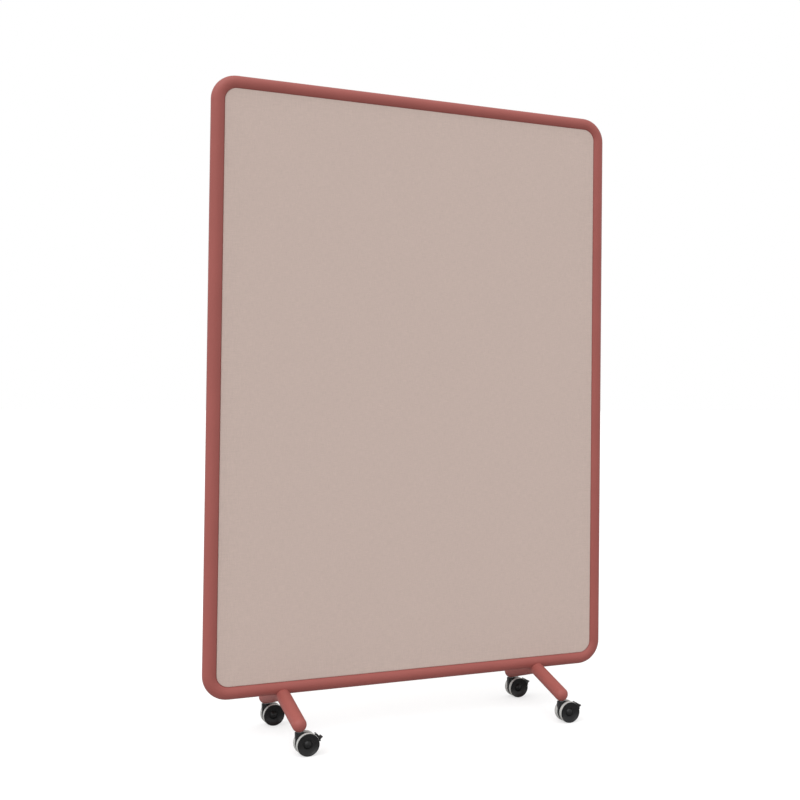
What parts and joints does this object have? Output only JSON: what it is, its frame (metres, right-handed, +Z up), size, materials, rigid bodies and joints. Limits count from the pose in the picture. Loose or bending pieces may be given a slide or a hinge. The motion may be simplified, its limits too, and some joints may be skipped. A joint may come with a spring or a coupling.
{
  "type": "rolling partition",
  "caption": "Free-standing room divider: upholstered panel in a rounded steel tube loop, on two sloping feet with braked swivel casters.",
  "frame": {"origin": "on the floor under the middle of the tube loop", "axes": "+X along the panel's width to the right, -Y is the front, +Z up"},
  "size_m": [1.2, 0.386, 1.7999],
  "materials": {
    "frame_paint": "matt powder coat, dusty terracotta red",
    "upholstery": "plain woven upholstery fabric, warm greige",
    "foam": "open-cell foam",
    "core_board": "fibreboard",
    "steel": "zinc plated",
    "clip_plastic": "moulded nylon",
    "caster_black": "moulded nylon, fine grain",
    "wheel_black": "moulded nylon, satin",
    "tyre_grey": "soft light grey tread"
  },
  "bodies": {
    "screen": {"frame_upper": "frame_paint", "frame_lower": "frame_paint", "frame_sleeves": "steel", "frame_tabs": "frame_paint", "left_foot": "frame_paint", "right_foot": "frame_paint", "front_core": "core_board", "rear_core": "core_board", "front_pad": "foam", "rear_pad": "foam", "front_cover": "upholstery", "rear_cover": "upholstery", "tab_screws": "steel", "clip_studs": "clip_plastic", "clip_sockets": "clip_plastic", "lf_end_plug": "frame_paint", "lf_stem": "steel", "rf_end_plug": "frame_paint", "rf_stem": "steel", "lr_end_plug": "frame_paint", "lr_stem": "steel", "rr_end_plug": "frame_paint", "rr_stem": "steel"},
    "lf_swivel": {"lf_housing": "caster_black", "lf_axle": "steel", "lf_hinge_pin": "steel"},
    "lf_front_roller": {"lf_front_wheel": "wheel_black", "lf_front_tyre": "tyre_grey"},
    "lf_rear_roller": {"lf_rear_wheel": "wheel_black", "lf_rear_tyre": "tyre_grey"},
    "lf_pedal": {"lf_brake_pedal": "caster_black"},
    "rf_swivel": {"rf_housing": "caster_black", "rf_axle": "steel", "rf_hinge_pin": "steel"},
    "rf_front_roller": {"rf_front_wheel": "wheel_black", "rf_front_tyre": "tyre_grey"},
    "rf_rear_roller": {"rf_rear_wheel": "wheel_black", "rf_rear_tyre": "tyre_grey"},
    "rf_pedal": {"rf_brake_pedal": "caster_black"},
    "lr_swivel": {"lr_housing": "caster_black", "lr_axle": "steel", "lr_hinge_pin": "steel"},
    "lr_front_roller": {"lr_front_wheel": "wheel_black", "lr_front_tyre": "tyre_grey"},
    "lr_rear_roller": {"lr_rear_wheel": "wheel_black", "lr_rear_tyre": "tyre_grey"},
    "lr_pedal": {"lr_brake_pedal": "caster_black"},
    "rr_swivel": {"rr_housing": "caster_black", "rr_axle": "steel", "rr_hinge_pin": "steel"},
    "rr_front_roller": {"rr_front_wheel": "wheel_black", "rr_front_tyre": "tyre_grey"},
    "rr_rear_roller": {"rr_rear_wheel": "wheel_black", "rr_rear_tyre": "tyre_grey"},
    "rr_pedal": {"rr_brake_pedal": "caster_black"}
  },
  "joints": [
    {"name": "lf_caster_swivel", "type": "hinge", "parent": "screen", "child": "lf_swivel", "pos_m": [-0.385, -0.17049, 0.05], "axis": [0, 0, 1], "continuous": true},
    {"name": "lf_front_wheel_roll", "type": "hinge", "parent": "lf_swivel", "child": "lf_front_roller", "pos_m": [-0.3655, -0.17049, 0.03], "axis": [0, 1, 0], "continuous": true},
    {"name": "lf_rear_wheel_roll", "type": "hinge", "parent": "lf_swivel", "child": "lf_rear_roller", "pos_m": [-0.3655, -0.17049, 0.03], "axis": [0, 1, 0], "continuous": true},
    {"name": "lf_brake_press", "type": "hinge", "parent": "lf_swivel", "child": "lf_pedal", "pos_m": [-0.35763, -0.17049, 0.04947], "axis": [0, 1, 0], "range_deg": [0, 7]},
    {"name": "rf_caster_swivel", "type": "hinge", "parent": "screen", "child": "rf_swivel", "pos_m": [0.385, -0.17049, 0.05], "axis": [0, 0, 1], "continuous": true},
    {"name": "rf_front_wheel_roll", "type": "hinge", "parent": "rf_swivel", "child": "rf_front_roller", "pos_m": [0.4045, -0.17049, 0.03], "axis": [0, 1, 0], "continuous": true},
    {"name": "rf_rear_wheel_roll", "type": "hinge", "parent": "rf_swivel", "child": "rf_rear_roller", "pos_m": [0.4045, -0.17049, 0.03], "axis": [0, 1, 0], "continuous": true},
    {"name": "rf_brake_press", "type": "hinge", "parent": "rf_swivel", "child": "rf_pedal", "pos_m": [0.41237, -0.17049, 0.04947], "axis": [0, 1, 0], "range_deg": [0, 7]},
    {"name": "lr_caster_swivel", "type": "hinge", "parent": "screen", "child": "lr_swivel", "pos_m": [-0.385, 0.17049, 0.05], "axis": [0, 0, 1], "continuous": true},
    {"name": "lr_front_wheel_roll", "type": "hinge", "parent": "lr_swivel", "child": "lr_front_roller", "pos_m": [-0.3655, 0.17049, 0.03], "axis": [0, 1, 0], "continuous": true},
    {"name": "lr_rear_wheel_roll", "type": "hinge", "parent": "lr_swivel", "child": "lr_rear_roller", "pos_m": [-0.3655, 0.17049, 0.03], "axis": [0, 1, 0], "continuous": true},
    {"name": "lr_brake_press", "type": "hinge", "parent": "lr_swivel", "child": "lr_pedal", "pos_m": [-0.35763, 0.17049, 0.04947], "axis": [0, 1, 0], "range_deg": [0, 7]},
    {"name": "rr_caster_swivel", "type": "hinge", "parent": "screen", "child": "rr_swivel", "pos_m": [0.385, 0.17049, 0.05], "axis": [0, 0, 1], "continuous": true},
    {"name": "rr_front_wheel_roll", "type": "hinge", "parent": "rr_swivel", "child": "rr_front_roller", "pos_m": [0.4045, 0.17049, 0.03], "axis": [0, 1, 0], "continuous": true},
    {"name": "rr_rear_wheel_roll", "type": "hinge", "parent": "rr_swivel", "child": "rr_rear_roller", "pos_m": [0.4045, 0.17049, 0.03], "axis": [0, 1, 0], "continuous": true},
    {"name": "rr_brake_press", "type": "hinge", "parent": "rr_swivel", "child": "rr_pedal", "pos_m": [0.41237, 0.17049, 0.04947], "axis": [0, 1, 0], "range_deg": [0, 7]}
  ]
}
